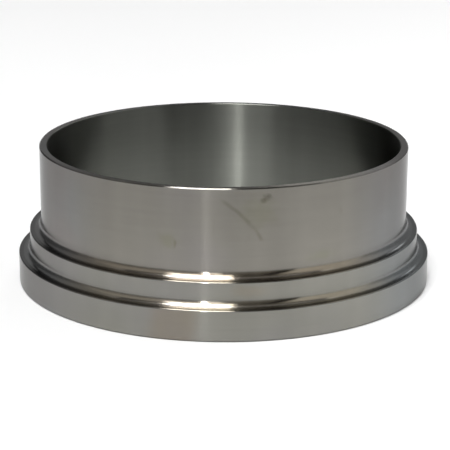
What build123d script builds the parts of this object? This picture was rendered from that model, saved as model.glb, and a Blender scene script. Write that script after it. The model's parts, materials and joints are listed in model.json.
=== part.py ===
from build123d import *

import math
import os

# Bevel seat ferrule for 4 in sanitary tube, turned from one piece. Millimetres, +Z up.
# The origin is the centre of the seat face, and the bore runs along Z.

# Weld end: the plain tube above the two shoulders
tube_od = 101.6
tube_wall = 2.11
weld_end_length = 23.4

# Collar: the upper, narrower shoulder, with a fillet at the foot of the wall above it
collar_step = 3.175
collar_height = 6.4
collar_fillet = 2.1

# Flange: the lower, wider shoulder, with a fillet at the foot of the collar's wall
flange_step = 3.175
flange_height = 8.3
flange_fillet = 1.9

# Seat: a conical bevel at the mouth of the bore, its angle measured from the axis
seat_width = 4.0
seat_angle = 45.0

# Edge breaks, small 45 degree chamfers: the shoulders' outer corners, the outer edges of the
# two end faces, and the edge of the bore at the rim
shoulder_break = 0.4
end_break = 0.3
bore_break = 0.2

# Radii and heights that follow from the sizes above
tube_radius = tube_od / 2
bore_radius = tube_radius - tube_wall
collar_radius = tube_radius + collar_step
flange_radius = collar_radius + flange_step
seat_radius = bore_radius + seat_width
seat_depth = seat_width / math.tan(math.radians(seat_angle))
collar_top = flange_height + collar_height
overall_height = collar_top + weld_end_length

# A fillet takes at most this share of its shoulder's step, so that a flat ring is left beside it
fillet_share = 0.7


def corner(radius, height):
    """The corner of the section that stands at a radius and a height."""
    return section.vertices().sort_by_distance((radius, height))[0]


with BuildPart() as ferrule:
    # Half section: up the stepped outside, across the rim, down the bore and out along the bevel
    with BuildSketch(Plane.XZ) as section:
        with BuildLine():
            Polyline(
                (seat_radius, 0),
                (flange_radius, 0),
                (flange_radius, flange_height),
                (collar_radius, flange_height),
                (collar_radius, collar_top),
                (tube_radius, collar_top),
                (tube_radius, overall_height),
                (bore_radius, overall_height),
                (bore_radius, seat_depth),
                close=True,
            )
        make_face()
        # Both shoulders: a concave fillet at the foot of the wall and a broken outer corner
        for inner, step, height, root in (
            (collar_radius, flange_step, flange_height, flange_fillet),
            (tube_radius, collar_step, collar_top, collar_fillet),
        ):
            fillet(corner(inner, height), min(root, fillet_share * step))
            chamfer(corner(inner + step, height), shoulder_break)
        # The edges of the two end faces
        chamfer(corner(tube_radius, overall_height), end_break)
        chamfer(corner(bore_radius, overall_height), bore_break)
        chamfer(corner(flange_radius, 0), end_break)
    revolve(axis=Axis.Z)

ferrule.part.label = "ferrule"

os.makedirs("parts", exist_ok=True)
export_step(ferrule.part, "parts/ferrule.step")

print("ferrule", ferrule.part.bounding_box().size, "volume", round(ferrule.part.volume), "mm3")
print("bore radius", bore_radius, "seat depth", round(seat_depth, 3), "overall height", overall_height)
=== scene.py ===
# %% [markdown]
# A bevel seat ferrule is a short collar of stainless steel that is turned on a lathe from one piece.
# It has a thin plain tube for welding, two stepped shoulders for a nut to press on, and an open bore.
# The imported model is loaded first, because the radii and heights below are worked out from it.

# %% Load the frame and note its box
import bpy
import json
import math
import numpy as np
from mathutils import Matrix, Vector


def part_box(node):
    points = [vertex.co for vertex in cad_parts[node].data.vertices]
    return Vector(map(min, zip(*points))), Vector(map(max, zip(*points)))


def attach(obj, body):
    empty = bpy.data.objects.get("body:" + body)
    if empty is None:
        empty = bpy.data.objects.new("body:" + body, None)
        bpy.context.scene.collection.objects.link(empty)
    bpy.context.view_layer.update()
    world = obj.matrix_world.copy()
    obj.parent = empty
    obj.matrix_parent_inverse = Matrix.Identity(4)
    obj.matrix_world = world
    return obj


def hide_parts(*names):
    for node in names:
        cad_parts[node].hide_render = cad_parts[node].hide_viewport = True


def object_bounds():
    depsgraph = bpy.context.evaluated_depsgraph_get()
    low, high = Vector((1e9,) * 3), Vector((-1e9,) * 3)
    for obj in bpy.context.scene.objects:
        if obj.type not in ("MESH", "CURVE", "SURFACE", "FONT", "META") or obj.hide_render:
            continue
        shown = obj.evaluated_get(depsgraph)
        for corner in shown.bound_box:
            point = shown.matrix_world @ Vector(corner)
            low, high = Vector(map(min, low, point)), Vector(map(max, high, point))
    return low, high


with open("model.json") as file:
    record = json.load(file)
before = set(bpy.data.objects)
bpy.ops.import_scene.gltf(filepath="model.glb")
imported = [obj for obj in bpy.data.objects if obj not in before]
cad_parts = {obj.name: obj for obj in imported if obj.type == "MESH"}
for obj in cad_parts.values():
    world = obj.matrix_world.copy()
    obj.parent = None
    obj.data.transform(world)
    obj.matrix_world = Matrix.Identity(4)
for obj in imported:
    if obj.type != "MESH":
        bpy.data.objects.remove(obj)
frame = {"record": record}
cad_low, cad_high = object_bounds()
MM = 0.001
print("CAD box in mm", [round(v / MM, 2) for v in (*cad_low, *cad_high)])

# %% [markdown]
# The photograph looks down on the ferrule by about sixteen degrees, from just under half a metre away.
# A long lens keeps the round rim from swelling towards the viewer, and its focal length sets how large
# the part stands in the frame. The camera's place and its three angles are written as numbers, so that
# the picture is the same each time.

# %% The camera of the photograph
SENSOR_WIDTH = 36.0
FOCAL_LENGTH = 133.15
CAMERA_DISTANCE = 448.15 * MM
CAMERA_HEIGHT = 145.6 * MM
CAMERA_TILT = 16.384
CAMERA_TURN = -0.053
CAMERA_ROLL = 0.225
NEAREST_SEEN = 0.01
FARTHEST_SEEN = 20


def make_camera():
    """The camera stands in front, at -Y, and is turned, tilted down and rolled, in that order."""
    data = bpy.data.cameras.new("camera")
    data.sensor_width = SENSOR_WIDTH
    data.lens = FOCAL_LENGTH
    data.clip_start = NEAREST_SEEN
    data.clip_end = FARTHEST_SEEN
    camera = bpy.data.objects.new("camera", data)
    bpy.context.scene.collection.objects.link(camera)
    turn = Matrix.Rotation(math.radians(CAMERA_TURN), 4, "Z")
    tilt = Matrix.Rotation(math.radians(90 - CAMERA_TILT), 4, "X")
    roll = Matrix.Rotation(math.radians(CAMERA_ROLL), 4, "Z")
    place = Matrix.Translation((0, -CAMERA_DISTANCE, CAMERA_HEIGHT))
    camera.matrix_world = place @ turn @ tilt @ roll
    bpy.context.scene.camera = camera
    return camera


camera = make_camera()
print("camera at", tuple(round(v, 4) for v in camera.location))

# %% [markdown]
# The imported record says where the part's straight round walls are: the bore, the outside of the tube and
# the outside of the collar. A shoulder's top then lies one fillet below the foot of the wall above it.
# The bevel at the mouth of the bore is cut at 45 degrees, so it is as wide as it is deep.

# %% Sizes of the section
RIM_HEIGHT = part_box("ferrule")[1].z
FLANGE_RADIUS = min(-cad_low[0], -cad_low[1], cad_high[0], cad_high[1])
COLLAR_FILLET = 2.1 * MM
FLANGE_FILLET = 1.9 * MM
CORNER_ROUND = 0.35 * MM


def straight_wall(name):
    """The radius of a round mount, and its foot and head: its middle less and plus half its length."""
    mount = next(m for m in frame["record"]["mounts"] if m["name"] == name)
    middle = mount["pos_m"][2]
    half = mount["dims"]["length_mm"] * MM / 2
    return mount["dims"]["r_mm"] * MM, middle - half, middle + half


BORE_RADIUS, bore_foot, bore_head = straight_wall("bore")
TUBE_RADIUS, tube_foot, tube_head = straight_wall("tube_outside")
COLLAR_RADIUS, collar_foot, _ = straight_wall("collar_outside")
COLLAR_TOP = tube_foot - COLLAR_FILLET
FLANGE_TOP = collar_foot - FLANGE_FILLET
SEAT_WIDTH = bore_foot
EDGE_BREAK = RIM_HEIGHT - tube_head
BORE_BREAK = RIM_HEIGHT - bore_head
print("radii in mm", [round(r / MM, 3) for r in (BORE_RADIUS, TUBE_RADIUS, COLLAR_RADIUS, FLANGE_RADIUS)])
print("heights in mm", [round(h / MM, 3) for h in (SEAT_WIDTH, FLANGE_TOP, COLLAR_TOP, RIM_HEIGHT)])

# %% [markdown]
# The section of a turned part is a closed outline, and turning the outline about the axis makes the part.
# The outline is kept as short runs, each with its points and with the direction that its surface faces.
# Knowing that direction exactly matters on polished metal, where a small error bends every reflection.


# %% Straight runs and bends
def straight(start, end, facing, count=2):
    """Points spaced evenly from start to end, which all face one way, given in degrees."""
    share = np.linspace(0, 1, count)[:, None]
    points = np.array(start) * (1 - share) + np.array(end) * share
    angle = np.radians(facing)
    return points, np.tile([np.cos(angle), np.sin(angle)], (count, 1))


def bend(centre, radius, start, end, count=13, hollow=False):
    """An arc: centre plus radius times (cos, sin) of an angle, which also gives the way it faces.

    A hollow arc is a fillet, and its surface faces the centre of its circle."""
    angle = np.radians(np.linspace(start, end, count))
    outward = np.stack([np.cos(angle), np.sin(angle)], 1)
    return np.array(centre) + radius * outward, -outward if hollow else outward


def shoulder(inner, outer, top, fillet, corner):
    """Going down from a wall: the fillet at its foot, the flat ring, and the round at the outer corner."""
    return [
        bend((inner + fillet, top + fillet), fillet, 180, 270, hollow=True),
        straight((inner + fillet, top), (outer - corner, top), 90),
        bend((outer - corner, top - corner), corner, 90, 0),
    ]


print("points in a fillet", len(bend((0, 0), COLLAR_FILLET, 180, 270, hollow=True)[0]))

# %% [markdown]
# The outline starts at the rim, goes down the outside over both shoulders to the seat face, turns in
# along the bevel and comes back up the bore. Long walls get a few more points, so that no face is a sliver.


# %% The whole section
def section():
    """The closed outline in radius and height, as runs that each start where the last one ended."""
    rim, cut, inner = RIM_HEIGHT, EDGE_BREAK, BORE_BREAK
    seat_radius = BORE_RADIUS + SEAT_WIDTH
    return [
        straight((BORE_RADIUS, rim - inner), (BORE_RADIUS + inner, rim), 135),
        straight((BORE_RADIUS + inner, rim), (TUBE_RADIUS - cut, rim), 90),
        straight((TUBE_RADIUS - cut, rim), (TUBE_RADIUS, rim - cut), 45),
        straight((TUBE_RADIUS, rim - cut), (TUBE_RADIUS, tube_foot), 0, count=12),
        *shoulder(TUBE_RADIUS, COLLAR_RADIUS, COLLAR_TOP, COLLAR_FILLET, CORNER_ROUND),
        straight((COLLAR_RADIUS, COLLAR_TOP - CORNER_ROUND), (COLLAR_RADIUS, collar_foot), 0, count=4),
        *shoulder(COLLAR_RADIUS, FLANGE_RADIUS, FLANGE_TOP, FLANGE_FILLET, CORNER_ROUND),
        straight((FLANGE_RADIUS, FLANGE_TOP - CORNER_ROUND), (FLANGE_RADIUS, cut), 0, count=5),
        straight((FLANGE_RADIUS, cut), (FLANGE_RADIUS - cut, 0), -45),
        straight((FLANGE_RADIUS - cut, 0), (seat_radius, 0), -90),
        straight((seat_radius, 0), (BORE_RADIUS, SEAT_WIDTH), -135),
        straight((BORE_RADIUS, SEAT_WIDTH), (BORE_RADIUS, rim - inner), 180, count=12),
    ]


print("runs in the section", len(section()))

# %% [markdown]
# Each run is carried round the axis as a grid: the angle goes one way and the run the other.
# The grids are joined where they meet, so the skin is closed, and each corner of each face gets the true
# direction of the surface there. An edge between two runs that face different ways then stays sharp.

# %% Turn the section into a closed skin
TURNS = 360


def turned(name, runs):
    """Every section point (r, z) becomes a ring of points (r cos a, r sin a, z).

    The faces join ring to ring, and their corners face (n cos a, n sin a, m) for a section normal (n, m)."""
    points = np.concatenate([run[0][:-1] for run in runs])
    start_facing = np.concatenate([run[1][:-1] for run in runs])
    end_facing = np.concatenate([run[1][1:] for run in runs])
    rings = len(points)
    angle = np.linspace(0, 2 * np.pi, TURNS, endpoint=False)
    round_x, round_y = np.cos(angle), np.sin(angle)
    vertices = np.empty((rings, TURNS, 3))
    vertices[..., 0] = points[:, :1] * round_x
    vertices[..., 1] = points[:, :1] * round_y
    vertices[..., 2] = points[:, 1:]
    ring, step = np.meshgrid(np.arange(rings), np.arange(TURNS), indexing="ij")
    next_ring, next_step = (ring + 1) % rings, (step + 1) % TURNS
    corners = np.stack([
        ring * TURNS + step,
        next_ring * TURNS + step,
        next_ring * TURNS + next_step,
        ring * TURNS + next_step,
    ], -1)

    def facing(section_normal, steps):
        """The normals of the section, turned to each step's angle."""
        across = section_normal[:, 0][:, None]
        up = np.broadcast_to(section_normal[:, 1][:, None], steps.shape)
        return np.stack([across * round_x[steps], across * round_y[steps], up], -1)

    normals = np.stack([
        facing(start_facing, step),
        facing(end_facing, step),
        facing(end_facing, next_step),
        facing(start_facing, next_step),
    ], 2)
    mesh = bpy.data.meshes.new(name)
    mesh.from_pydata(vertices.reshape(-1, 3), [], corners.reshape(-1, 4))
    mesh.polygons.foreach_set("use_smooth", np.ones(rings * TURNS, bool))
    mesh.normals_split_custom_set(normals.reshape(-1, 3))
    piece = bpy.data.objects.new(name, mesh)
    bpy.context.scene.collection.objects.link(piece)
    return piece


ferrule = turned("turned_ferrule", section())
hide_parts("ferrule")
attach(ferrule, "root")
print("faces", len(ferrule.data.polygons), "size in mm", [round(v / MM, 2) for v in ferrule.dimensions])

# %% [markdown]
# The steel is one material, built from a few node helpers. A Math node joins numbers and other nodes'
# outputs, so a formula is easier to read as nested calls than as a long list of links.


# %% Helpers that add and join shader nodes
def add_node(tree, kind, **settings):
    """A node of that kind, with its settings put on."""
    node = tree.nodes.new(kind)
    for key, value in settings.items():
        setattr(node, key, value)
    return node


def feed(tree, socket, item):
    """Give a socket a plain number, colour or vector, or link it to another node's output."""
    if isinstance(item, bpy.types.NodeSocket):
        tree.links.new(item, socket)
    else:
        socket.default_value = item


def calc(tree, operation, *items):
    """One step of arithmetic on the items, which are numbers or outputs."""
    node = add_node(tree, "ShaderNodeMath", operation=operation)
    for socket, item in zip(node.inputs, items):
        feed(tree, socket, item)
    return node.outputs[0]


# %% [markdown]
# Sums, products and mixes come up in every formula below, so each has a helper of its own.
# A fade turns any measure into a mask from zero to one with soft ends, and masks are joined by product.


# %% Helpers for sums, products and masks
def total(tree, first, *rest):
    """The sum of numbers and outputs."""
    for item in rest:
        first = calc(tree, "ADD", first, item)
    return first


def product(tree, first, *rest):
    """Numbers and outputs, all multiplied together."""
    for item in rest:
        first = calc(tree, "MULTIPLY", first, item)
    return first


def length(tree, side, rise):
    """The length of a slanted line: the root of side squared plus rise squared."""
    return calc(tree, "SQRT", total(tree, product(tree, side, side), product(tree, rise, rise)))


def between(tree, amount, low, high):
    """Low where the amount is 0 and high where it is 1: low plus the amount times high less low."""
    return total(tree, low, product(tree, amount, calc(tree, "SUBTRACT", high, low)))


def fade(tree, item, start, end):
    """Zero at the start, one at the end and smooth between them; start may be the larger."""
    node = add_node(tree, "ShaderNodeMapRange", interpolation_type="SMOOTHSTEP")
    feed(tree, node.inputs["Value"], item)
    node.inputs["From Min"].default_value = min(start, end)
    node.inputs["From Max"].default_value = max(start, end)
    node.inputs["To Min"].default_value = 0 if start < end else 1
    node.inputs["To Max"].default_value = 1 if start < end else 0
    return node.outputs["Result"]


# %% [markdown]
# Noise is what keeps a finish from looking drawn. It is read at a place, which may be squeezed or drawn
# out, and its colour or shade is then laid over what is there.


# %% Helpers for places, noise and colours
def point(tree, x, y, z=0.0):
    """Three numbers or outputs as one vector."""
    node = add_node(tree, "ShaderNodeCombineXYZ")
    for socket, item in zip(node.inputs, (x, y, z)):
        feed(tree, socket, item)
    return node.outputs[0]


def clouds(tree, place, scale, detail=2.0):
    """Smooth noise from 0 to 1 at a place, which is a vector output."""
    node = add_node(tree, "ShaderNodeTexNoise")
    feed(tree, node.inputs["Vector"], place)
    node.inputs["Scale"].default_value = scale
    node.inputs["Detail"].default_value = detail
    return node.outputs["Fac"]


def blend(tree, amount, first, second, kind="MIX"):
    """The first colour where the amount is 0, and the blend with the second where it is 1."""
    node = add_node(tree, "ShaderNodeMix", data_type="RGBA", blend_type=kind)
    feed(tree, node.inputs[0], amount)
    feed(tree, node.inputs[6], first)
    feed(tree, node.inputs[7], second)
    return node.outputs[2]


def tinted(tree, amount, colour, tint):
    """The colour multiplied by a tint, as far as the amount says."""
    return blend(tree, amount, colour, tint, "MULTIPLY")


# %% [markdown]
# Everything on a turned part follows two directions, round the axis and across the lathe's grooves.
# So each shaded point gets its numbers in millimetres: its radius, its height, its way round the tube's
# wall from the front, and its way across the grooves, which is the radius less the height.


# %% Where a point is on the part
def surface_place(tree):
    """Radius, height, around = tube radius times the azimuth, and across = radius less height."""
    spot = add_node(tree, "ShaderNodeTexCoord").outputs["Object"]
    parts = add_node(tree, "ShaderNodeSeparateXYZ")
    feed(tree, parts.inputs[0], spot)
    x, y, z = (calc(tree, "DIVIDE", parts.outputs[axis], MM) for axis in "XYZ")
    radius = length(tree, x, y)
    azimuth = calc(tree, "ARCTAN2", x, product(tree, y, -1.0))
    around = product(tree, azimuth, TUBE_RADIUS / MM)
    across = calc(tree, "SUBTRACT", radius, z)
    return {"spot": spot, "x": x, "y": y, "height": z, "radius": radius, "around": around, "across": across}


def front_and_inside(tree, place):
    """The front is -y over the radius, from -1 behind to 1 before; inside is one on the bore's wall."""
    front = calc(tree, "DIVIDE", product(tree, place["y"], -1.0), place["radius"])
    inside = fade(tree, place["radius"], BORE_RADIUS / MM + 0.4, BORE_RADIUS / MM + 0.1)
    return front, inside


# %% [markdown]
# The tool leaves grooves a fraction of a millimetre wide and far less deep, too fine to model.
# Noise that is squeezed across the grooves and drawn out round the axis gives them to a Bump node.
# The same grooves make the polish uneven, so they also move the roughness a little.

# %% The lathe's grooves
GROOVES_PER_MM = 2.0
BANDS_PER_MM = 0.7
DRAWN_OUT = 0.03


def lathe_grooves(tree, place):
    """Noise at (across times so many per mm, x times 0.03, y times 0.03): fine grooves and wider bands."""
    x = product(tree, place["x"], DRAWN_OUT)
    y = product(tree, place["y"], DRAWN_OUT)
    fine = clouds(tree, point(tree, product(tree, place["across"], GROOVES_PER_MM), x, y), 1.0)
    bands = clouds(tree, point(tree, product(tree, place["across"], BANDS_PER_MM), x, y), 1.0)
    return fine, bands


# %% [markdown]
# The steel isn't one grey. Plain and plum steel mix in clouds, and the sides are neutral. Its front has a
# faint straw tint, which is a painted warm reflection. The bore is a little greener, and its darker steel is
# painted shade in the hollow. The walls of the collar and the flange are a little brighter than the tube,
# which is a painted reflection of the floor close below them. Soft clouds mix these tints, so that no edge
# between them shows.

# %% The tints of the walls, with painted reflection and shade
# The straw steel is a painted warm reflection, the bore steel is darkened by painted shade, and the lower
# tint is a painted reflection.
PLAIN_STEEL = (0.199, 0.199, 0.196, 1)
STRAW_REFLECTION_STEEL = (0.213, 0.203, 0.18, 1)
PLUM_STEEL = (0.208, 0.197, 0.189, 1)
SHADED_BORE_STEEL = (0.174, 0.179, 0.161, 1)
LOWER_REFLECTION_TINT = (1.045, 1.075, 1.08, 1)
# The clouds' scale, and where in them each tint starts and is full
TINT_CLOUDS = 28.0
PLUM_CLOUDS = (0.6, 0.4)
STRAW_CLOUDS = (0.25, 0.55)
# How far towards the front the painted straw reflection starts and is full
STRAW_REFLECTION_FRONT = (0.55, 0.85)


def wall_colour(tree, place, front, inside):
    """Plain and plum steel in clouds, a painted straw reflection in front, darker bore steel inside as
    painted shade, and a painted brighter reflection low down.
    """
    large = clouds(tree, place["spot"], TINT_CLOUDS)
    colour = blend(tree, fade(tree, large, *PLUM_CLOUDS), PLAIN_STEEL, PLUM_STEEL)
    # The straw tint on the front is a painted warm reflection.
    straw_reflection = product(tree, fade(tree, front, *STRAW_REFLECTION_FRONT), fade(tree, large, *STRAW_CLOUDS))
    colour = blend(tree, straw_reflection, colour, STRAW_REFLECTION_STEEL)
    # The bore's darker steel is painted shade in the hollow.
    colour = blend(tree, inside, colour, SHADED_BORE_STEEL)
    # Low on the collar and the flange, the tint is a painted brighter reflection.
    lower = fade(tree, place["height"], COLLAR_TOP / MM + 0.1, COLLAR_TOP / MM - 0.2)
    outside = calc(tree, "SUBTRACT", 1.0, inside)
    return tinted(tree, product(tree, lower, outside), colour, LOWER_REFLECTION_TINT)


print("tube", PLAIN_STEEL[:3], "bore", SHADED_BORE_STEEL[:3])

# %% [markdown]
# Each shoulder is a flat ring with a fillet. The rings are painted brighter and warmer in front and darker
# at the sides. The fillets are painted brighter all round and warmer in front. All of this is painted
# reflection, with painted shade on the rings' sides. The feet of the front fillets are the brightest of all,
# where light goes from wall to ring and back. The render's reflections alone come out darker there, so a
# painted reflection in the steel's colour makes up for it.

# %% The painted reflection and shade of the shoulders
# The ring and fillet tints are painted reflection in front, the side ring tint is painted shade, and the
# foot tint is a painted reflection.
FRONT_RING_REFLECTION = (1.18, 1.12, 1.04, 1)
SIDE_RING_SHADE = (0.74, 0.76, 0.78, 1)
FRONT_FILLET_REFLECTION = (1.32, 1.27, 1.2, 1)
SIDE_FILLET_REFLECTION = (1.36, 1.37, 1.38, 1)
FOOT_REFLECTION = (1.64, 1.7, 1.86, 1)
# How far towards the front the warm painted reflection and the bright painted feet start and are full
REFLECTION_FRONT = (0.5, 0.9)
FOOT_FRONT = (0.8, 0.95)
# How far out from the wall above, in millimetres, the foot starts, the fillet ends and the ring ends
FOOT_START = 0.65
FILLET_END = 2.0
RING_END = 4.0
# Each shoulder: the radius of the wall above it, the height of its ring, and its fillet
SHOULDERS = (
    (TUBE_RADIUS / MM, COLLAR_TOP / MM, COLLAR_FILLET / MM),
    (COLLAR_RADIUS / MM, FLANGE_TOP / MM, FLANGE_FILLET / MM),
)


def on_shoulders(tree, place, start, end):
    """One where a point lies on a shoulder, from start to end millimetres out from the wall above it.

    The mask fades over a few tenths of a millimetre at the start, at the end, below and above."""
    masks = []
    for wall, ring, fillet in SHOULDERS:
        out = calc(tree, "SUBTRACT", place["radius"], wall)
        across = product(tree, fade(tree, out, start, start + 0.15), fade(tree, out, end + 0.1, end - 0.3))
        above = fade(tree, place["height"], ring - 0.25, ring - 0.1)
        below = fade(tree, place["height"], ring + fillet + 0.3, ring + fillet)
        masks.append(product(tree, across, above, below))
    return calc(tree, "MAXIMUM", *masks)


def shoulder_colour(tree, place, front, colour):
    """The colour with painted reflection and shade on the rings, on the fillets and on the feet of the front
    fillets.
    """
    # The front mask blends the painted side tints into the painted front reflections.
    front_reflection = fade(tree, front, *REFLECTION_FRONT)
    ring = blend(tree, front_reflection, SIDE_RING_SHADE, FRONT_RING_REFLECTION)
    fillet = blend(tree, front_reflection, SIDE_FILLET_REFLECTION, FRONT_FILLET_REFLECTION)
    colour = tinted(tree, on_shoulders(tree, place, 0.0, RING_END), colour, ring)
    colour = tinted(tree, on_shoulders(tree, place, 0.0, FILLET_END), colour, fillet)
    foot = product(tree, on_shoulders(tree, place, FOOT_START, FILLET_END), fade(tree, front, *FOOT_FRONT))
    return tinted(tree, foot, colour, FOOT_REFLECTION)


print("ring in front", FRONT_RING_REFLECTION[:3], "and at the sides", SIDE_RING_SHADE[:3])

# %% [markdown]
# The polish is uneven too. The grooves and small clouds shade it by a few percent, the tube and the bore are
# darker at the rim than lower down, and faint upright bands run over both. The change with height is painted
# light: painted shade at the rim and a painted reflection lower down.

# %% The uneven polish and the painted shade by height
# The painted shade by height, at the rim and at the foot, outside and in the bore
OUTSIDE_AT_RIM = 0.96
OUTSIDE_AT_FOOT = 1.11
BORE_AT_RIM = 0.84
BORE_AT_FOOT = 1.15
DARKEST_BAND = 0.9
LIGHTEST_BAND = 1.1
BAND_CLOUDS = 170.0
SMALL_CLOUDS = 150.0
# The darkest shade of the grooves, and what the wider grooves and the small clouds add to it
GROOVE_SHADE = 0.91
WIDER_GROOVES = 0.1
CLOUD_SHADE = 0.08


def uneven_polish_and_painted_shade(tree, place, bands, inside):
    """Three shades multiplied: grooves with clouds, the painted shade by height, and the upright bands."""
    wider = product(tree, bands, WIDER_GROOVES)
    small = product(tree, clouds(tree, place["spot"], SMALL_CLOUDS, 3.0), CLOUD_SHADE)
    grooves = total(tree, GROOVE_SHADE, wider, small)
    # The shade by height is painted light: darker at the rim, brighter towards the foot.
    down = fade(tree, place["height"], RIM_HEIGHT / MM - 2, COLLAR_TOP / MM + 1)
    at_rim = between(tree, inside, OUTSIDE_AT_RIM, BORE_AT_RIM)
    at_foot = between(tree, inside, OUTSIDE_AT_FOOT, BORE_AT_FOOT)
    by_height = between(tree, down, at_rim, at_foot)
    round_only = point(tree, product(tree, place["around"], MM), 0.0)
    upright = between(tree, clouds(tree, round_only, BAND_CLOUDS, 3.0), DARKEST_BAND, LIGHTEST_BAND)
    shade = product(tree, grooves, by_height, upright)
    return point(tree, shade, shade, shade)


print("shade of the tube from rim to foot", OUTSIDE_AT_RIM, "to", OUTSIDE_AT_FOOT)

# %% [markdown]
# The wear is what the photograph shows and no more: one curved scratch on the front of the tube, a few
# small stains, and warm patches on the flange and the collar. Each is a mask worked out from the way round
# and the height. Noise bends the edges of the stains, because a real stain is never an ellipse.

# %% The shapes of the marks
RAGGED_CLOUDS = 600.0
# Where a stain starts and where it is full, as shares of the way from its middle to its edge
STAIN_EDGE = 1.35
STAIN_CORE = 0.25


def away_from(tree, place, centre):
    """How far a point lies to the side of a centre and above it, in millimetres on the wall."""
    side = calc(tree, "SUBTRACT", place["around"], centre[0])
    rise = calc(tree, "SUBTRACT", place["height"], centre[1])
    return side, rise


def stain(tree, place, centre, size, ragged):
    """A soft spot: one inside an ellipse round its centre, with an edge that noise pushes in and out."""
    side, rise = away_from(tree, place, centre)
    reach = length(tree, calc(tree, "DIVIDE", side, size[0]), calc(tree, "DIVIDE", rise, size[1]))
    push = between(tree, clouds(tree, place["spot"], RAGGED_CLOUDS), -ragged, ragged)
    return fade(tree, total(tree, reach, push), STAIN_EDGE, STAIN_CORE)


def on_outer_wall(tree, place, radius):
    """One on an outer wall of that radius and beyond it, and zero well inside it."""
    return fade(tree, place["radius"], radius / MM - 0.6, radius / MM - 0.4)


print("a stain is full within", STAIN_CORE, "of its size")

# %% [markdown]
# The scratch lies on a circle, so it is a band round one distance from the circle's centre. It thins out
# at both ends, and noise breaks it up and makes it waver, as the point that made it skipped and slid.

# %% The scratch
SCRATCH_CENTRE = (-13.8, 12.0)
SCRATCH_RADIUS = 26.5
SCRATCH_TINT = (0.82, 0.82, 0.77, 1)
# Half its width at the soft edge and at the core, and how far it wavers
SCRATCH_EDGE = 0.78
SCRATCH_CORE = 0.1
SCRATCH_WAVER = 0.25
WAVER_CLOUDS = 250.0
# Where it starts and is full: the way round at its upper end, and the height at its lower end
UPPER_END = (-1.4, 1.0)
LOWER_END = (23.6, 25.4)
# The noise that breaks it up, where in the noise it is faintest and full, and how faint it gets
BREAK_CLOUDS = 330.0
BREAKS = (0.36, 0.56)
SCRATCH_FAINTEST = 0.35


def scratch(tree, place):
    """One where the distance from the centre, with some waver, is the radius, and fading off it."""
    waver = between(tree, clouds(tree, place["spot"], WAVER_CLOUDS, 1.0), -SCRATCH_WAVER, SCRATCH_WAVER)
    reach = total(tree, length(tree, *away_from(tree, place, SCRATCH_CENTRE)), waver)
    gap = calc(tree, "ABSOLUTE", calc(tree, "SUBTRACT", reach, SCRATCH_RADIUS))
    line = fade(tree, gap, SCRATCH_EDGE, SCRATCH_CORE)
    ends = product(tree, fade(tree, place["around"], *UPPER_END), fade(tree, place["height"], *LOWER_END))
    broken = fade(tree, clouds(tree, place["spot"], BREAK_CLOUDS, 1.0), *BREAKS)
    return product(tree, line, ends, between(tree, broken, SCRATCH_FAINTEST, 1.0))


print("scratch on a circle of", SCRATCH_RADIUS, "mm about", SCRATCH_CENTRE)

# %% [markdown]
# The tube has two small dark spots with a faint olive area beside them, and a few thin or faint smears.
# The flange and the collar each have a warm patch in front, with soft sides.

# %% The stains and the warm patches
# Each stain on the tube: its middle (way round, height), half its size, how ragged it is, and its tint
STAINS = (
    ((11.1, 35.9), (1.2, 0.9), 0.9, (0.62, 0.62, 0.58, 1)),
    ((9.9, 34.9), (1.0, 0.85), 0.9, (0.72, 0.72, 0.66, 1)),
    ((8.8, 31.6), (5.0, 4.2), 0.8, (0.95, 0.96, 0.89, 1)),
    ((-14.3, 24.1), (2.6, 2.2), 0.7, (0.93, 0.94, 0.86, 1)),
    ((-12.3, 23.4), (0.35, 1.1), 0.5, (0.84, 0.84, 0.78, 1)),
    ((-2.5, 28.2), (0.16, 2.6), 0.3, (0.94, 0.94, 0.9, 1)),
    ((31.9, 29.9), (0.5, 1.2), 0.5, (0.93, 0.92, 0.9, 1)),
    ((26.0, 19.0), (4.0, 1.2), 0.8, (0.95, 0.97, 0.9, 1)),
)
# The flange's patch: where it starts and is full from the left and from the right, how it slants, and
# the clouds that make it uneven, from faintest to fullest
FLANGE_PATCH_TINT = (0.96, 0.89, 0.8, 1)
FLANGE_PATCH_LEFT = (-19.5, -14.5)
FLANGE_PATCH_RIGHT = (-4.5, -9.5)
FLANGE_PATCH_SLANT = 0.15
FLANGE_PATCH_CLOUDS = 160.0
FLANGE_PATCH_RANGE = (0.6, 1.4)
# The collar's patch, as a stain: its middle, half its size and how ragged it is
COLLAR_PATCH_TINT = (1.0, 0.95, 0.9, 1)
COLLAR_PATCH = ((6.0, 12.3), (4.5, 1.6), 0.7)


def flange_patch(tree, place):
    """One on the flange's wall between two slanting sides, by the way round less 0.15 times the height."""
    slanted = total(tree, place["around"], product(tree, place["height"], -FLANGE_PATCH_SLANT))
    left, right = (fade(tree, slanted, *side) for side in (FLANGE_PATCH_LEFT, FLANGE_PATCH_RIGHT))
    uneven = between(tree, clouds(tree, place["spot"], FLANGE_PATCH_CLOUDS), *FLANGE_PATCH_RANGE)
    low = fade(tree, place["height"], FLANGE_TOP / MM + 0.1, FLANGE_TOP / MM - 0.7)
    return product(tree, left, right, uneven, low, on_outer_wall(tree, place, FLANGE_RADIUS))


def collar_patch(tree, place):
    """A wide soft stain on the collar's wall, above the fillet at its foot."""
    patch = stain(tree, place, *COLLAR_PATCH)
    high = fade(tree, place["height"], FLANGE_TOP / MM + 1.5, FLANGE_TOP / MM + 2.2)
    return product(tree, patch, high, on_outer_wall(tree, place, COLLAR_RADIUS))


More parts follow.
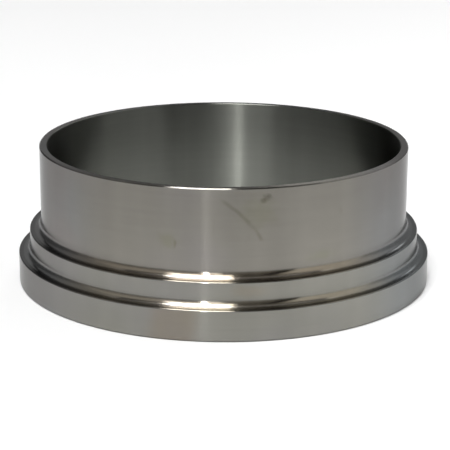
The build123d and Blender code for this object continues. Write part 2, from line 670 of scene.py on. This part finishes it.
def marked_colour(tree, place, colour):
    """The steel's colour, darkened and tinted by each mark in turn."""
    high = fade(tree, place["height"], COLLAR_TOP / MM + 1.5, COLLAR_TOP / MM + 2.5)
    on_tube = product(tree, high, on_outer_wall(tree, place, TUBE_RADIUS))
    colour = tinted(tree, product(tree, scratch(tree, place), on_tube), colour, SCRATCH_TINT)
    for centre, size, ragged, tint in STAINS:
        spot = stain(tree, place, centre, size, ragged)
        colour = tinted(tree, product(tree, spot, on_tube), colour, tint)
    colour = tinted(tree, flange_patch(tree, place), colour, FLANGE_PATCH_TINT)
    return tinted(tree, collar_patch(tree, place), colour, COLLAR_PATCH_TINT)


print("stains on the tube", len(STAINS))

# %% [markdown]
# Across its grooves, turned steel scatters light widely, and along them hardly at all, so a lamp shows as
# a tall streak with sharp sides. The Principled shader does this with its anisotropy, which needs a tangent
# that runs round the axis. The bore shows softer streaks than the outside, so it is a little rougher.

# %% The steel
STEEL_EDGE = (0.6, 0.6, 0.6, 1)
STEEL_ROUGHNESS = 0.16
GROOVE_ROUGHNESS = 0.04
SMEAR_ROUGHNESS = 0.03
SMEAR_CLOUDS = 45.0
SMEARS = (0.45, 0.75)
BORE_ROUGHNESS = 0.14
BUMP_STRENGTH = 0.25
GROOVE_DEPTH = 0.004 * MM
# The stretched highlights are turned a quarter, so that they run across the grooves
QUARTER_TURN = 0.25


def steel_roughness(tree, place, fine, inside):
    """The polish's roughness, with some more in the grooves, in smears and in the bore."""
    smears = fade(tree, clouds(tree, place["spot"], SMEAR_CLOUDS, 3.0), *SMEARS)
    return total(tree, STEEL_ROUGHNESS,
                 product(tree, fine, GROOVE_ROUGHNESS),
                 product(tree, smears, SMEAR_ROUGHNESS),
                 product(tree, inside, BORE_ROUGHNESS))


def polished_steel():
    """Stainless steel, turned and polished, with its grooves, tints and marks."""
    material = bpy.data.materials.new("polished_stainless")
    material.use_nodes = True
    tree = material.node_tree
    shader = tree.nodes["Principled BSDF"]
    shader.inputs["Specular Tint"].default_value = STEEL_EDGE
    shader.inputs["Metallic"].default_value = 1
    shader.inputs["Anisotropic"].default_value = 1
    shader.inputs["Anisotropic Rotation"].default_value = QUARTER_TURN
    tangent = add_node(tree, "ShaderNodeTangent", direction_type="RADIAL", axis="Z")
    feed(tree, shader.inputs["Tangent"], tangent.outputs["Tangent"])
    place = surface_place(tree)
    front, inside = front_and_inside(tree, place)
    fine, bands = lathe_grooves(tree, place)
    colour = wall_colour(tree, place, front, inside)
    colour = shoulder_colour(tree, place, front, colour)
    colour = tinted(tree, 1.0, colour, uneven_polish_and_painted_shade(tree, place, bands, inside))
    feed(tree, shader.inputs["Base Color"], marked_colour(tree, place, colour))
    feed(tree, shader.inputs["Roughness"], steel_roughness(tree, place, fine, inside))
    bump = add_node(tree, "ShaderNodeBump")
    bump.inputs["Strength"].default_value = BUMP_STRENGTH
    bump.inputs["Distance"].default_value = GROOVE_DEPTH
    feed(tree, bump.inputs["Height"], fine)
    feed(tree, shader.inputs["Normal"], bump.outputs["Normal"])
    print("nodes in the steel", len(tree.nodes))
    return material


ferrule.data.materials.append(polished_steel())

# %% [markdown]
# The floor is plain and pale, and in the photograph it has gone quite white. Its own colour stays a
# little under white, so that it lights the part plainly, and the rest is a faint glow that only the
# camera and the reflections in the metal see. The glow is stronger to the right, as the photograph's
# floor is, and there is none under the part.

# %% The floor
FLOOR_HALF = 1.5
FLOOR_ALBEDO = 0.9
FLOOR_ROUGHNESS = 0.9
FLOOR_LIFT = 0.07
FLOOR_LIFT_RIGHT = 0.12
# Where the added lift starts and is full, as x over the radius
TO_RIGHT = (-0.2, 0.8)
WHITE = (1, 1, 1, 1)


def floor_lift(tree):
    """The lift, plus more to the right by x over the radius, times one where it may be seen."""
    path = add_node(tree, "ShaderNodeLightPath")
    seen = calc(tree, "MAXIMUM", path.outputs["Is Camera Ray"], path.outputs["Is Glossy Ray"])
    seen = calc(tree, "MAXIMUM", seen, path.outputs["Is Transmission Ray"])
    place = surface_place(tree)
    to_right = fade(tree, calc(tree, "DIVIDE", place["x"], place["radius"]), *TO_RIGHT)
    lift = total(tree, FLOOR_LIFT, product(tree, to_right, FLOOR_LIFT_RIGHT))
    beyond = calc(tree, "GREATER_THAN", place["radius"], FLANGE_RADIUS / MM)
    return product(tree, lift, beyond, seen)


def pale_floor():
    """A matt pale material whose glow is its lift towards white."""
    material = bpy.data.materials.new("pale_floor")
    material.use_nodes = True
    tree = material.node_tree
    shader = tree.nodes["Principled BSDF"]
    shader.inputs["Base Color"].default_value = (FLOOR_ALBEDO, FLOOR_ALBEDO, FLOOR_ALBEDO, 1)
    shader.inputs["Roughness"].default_value = FLOOR_ROUGHNESS
    shader.inputs["Specular IOR Level"].default_value = 0
    shader.inputs["Emission Color"].default_value = WHITE
    feed(tree, shader.inputs["Emission Strength"], floor_lift(tree))
    return material


def make_floor():
    """A flat square at height zero, which the part stands on."""
    mesh = bpy.data.meshes.new("floor")
    s = FLOOR_HALF
    mesh.from_pydata([(-s, -s, 0), (s, -s, 0), (s, s, 0), (-s, s, 0)], [], [(0, 1, 2, 3)])
    mesh.materials.append(pale_floor())
    floor = bpy.data.objects.new("floor", mesh)
    bpy.context.scene.collection.objects.link(floor)
    return floor


floor = make_floor()
print("floor", 2 * FLOOR_HALF, "m wide")

# %% [markdown]
# Polished metal shows its surroundings more than itself, so the lamps are planned as things to be seen.
# Every lamp is given the brightness that its face shows, because that is what the metal mirrors.


# %% Lamps of a given brightness
def lamp(name, place, turn, size, brightness):
    """An oblong lamp at a place, turned by three angles; unturned it shines down.

    Its power in watts is brightness times pi times its area, so that its face looks that bright."""
    data = bpy.data.lights.new(name, "AREA")
    data.shape = "RECTANGLE"
    data.size, data.size_y = size
    data.energy = brightness * math.pi * size[0] * size[1]
    piece = bpy.data.objects.new(name, data)
    bpy.context.scene.collection.objects.link(piece)
    piece.location = place
    piece.rotation_euler = turn
    return piece


def panel(name, azimuth, height, distance, size, brightness):
    """An upright lamp at an azimuth in degrees, 0 being the camera's side, that faces the part's axis.

    Its place is (distance times sin, -distance times cos, height) of the azimuth."""
    turn = math.radians(azimuth)
    place = (distance * math.sin(turn), -distance * math.cos(turn), height)
    return lamp(name, place, (math.radians(90), 0, turn), size, brightness)


# %% [markdown]
# The part stands in a tent of pale cloth with six sides and a roof. The cloths are dimmer at the left and
# in front, and brighter at the right, which gives the walls their soft change from side to side.

# %% The tent
TENT = 1.4
LOWER_CLOTH = 0.65
UPPER_CLOTH = 1.7
ROOF_HEIGHT = 2.4
ROOF_WIDTH = 2.2
ROOF_BRIGHTNESS = 0.18
# Each side of the tent: azimuth, width, and the brightness of its lower and of its upper cloth
SIDES = (
    (-120, 1.6, 0.12, 0.28),
    (-60, 1.6, 0.18, 0.45),
    (0, 1.6, 0.22, 0.1),
    (67, 1.25, 0.62, 0.68),
    (120, 1.6, 0.4, 0.66),
    (180, 1.6, 0.42, 0.0),
)
for azimuth, width, lower, upper in SIDES:
    panel("lower_cloth", azimuth, LOWER_CLOTH / 2, TENT, (width, LOWER_CLOTH), lower)
    if upper:
        panel("upper_cloth", azimuth, LOWER_CLOTH + UPPER_CLOTH / 2, TENT, (width, UPPER_CLOTH), upper)
lamp("roof_cloth", (0, 0, ROOF_HEIGHT), (0, 0, 0), (ROOF_WIDTH, ROOF_WIDTH), ROOF_BRIGHTNESS)
print("sides of the tent", len(SIDES))

# %% [markdown]
# Two soft boxes over the front make the white bars on the shoulders and on the rim: one lies flat
# overhead, and one stands upright behind the camera. A narrow and a wide lamp, also behind the camera,
# draw the upright streaks on the wall and in the bore. A window behind the part brightens the rim and
# the right ends of the shoulders. The world stays black, so that the metal mirrors only what is built.

# %% The soft boxes, the window and the streak lamps
FACING_DOWN = (0, 0, 0)
FACING_PART = (math.radians(90), 0, 0)
# Each soft box: its place, the way it faces, its width and length, and its brightness
lamp("overhead_box", (-0.225, -0.22, 1.5), FACING_DOWN, (0.57, 0.40), 15.5)
lamp("front_box", (-0.40, -1.15, 1.8), FACING_PART, (1.10, 0.9), 9.0)
# Each upright lamp: azimuth, height, distance, width and height of its face, and its brightness
panel("rear_window", 166, 1.3, TENT, (0.5, 1.4), 2.3)
panel("narrow_lamp", -10.6, 0.65, 1.3, (0.032, 0.6), 54.0)
panel("wide_lamp", -4.5, 0.65, 1.32, (0.16, 0.6), 1.9)

world = bpy.data.worlds.new("dark_room")
bpy.context.scene.world = world
world.use_nodes = True
world.node_tree.nodes["Background"].inputs["Color"].default_value = (0, 0, 0, 1)

# %% [markdown]
# Last, the Standard view shows each colour as it is written.

# %% Finish
bpy.context.scene.view_settings.view_transform = "Standard"
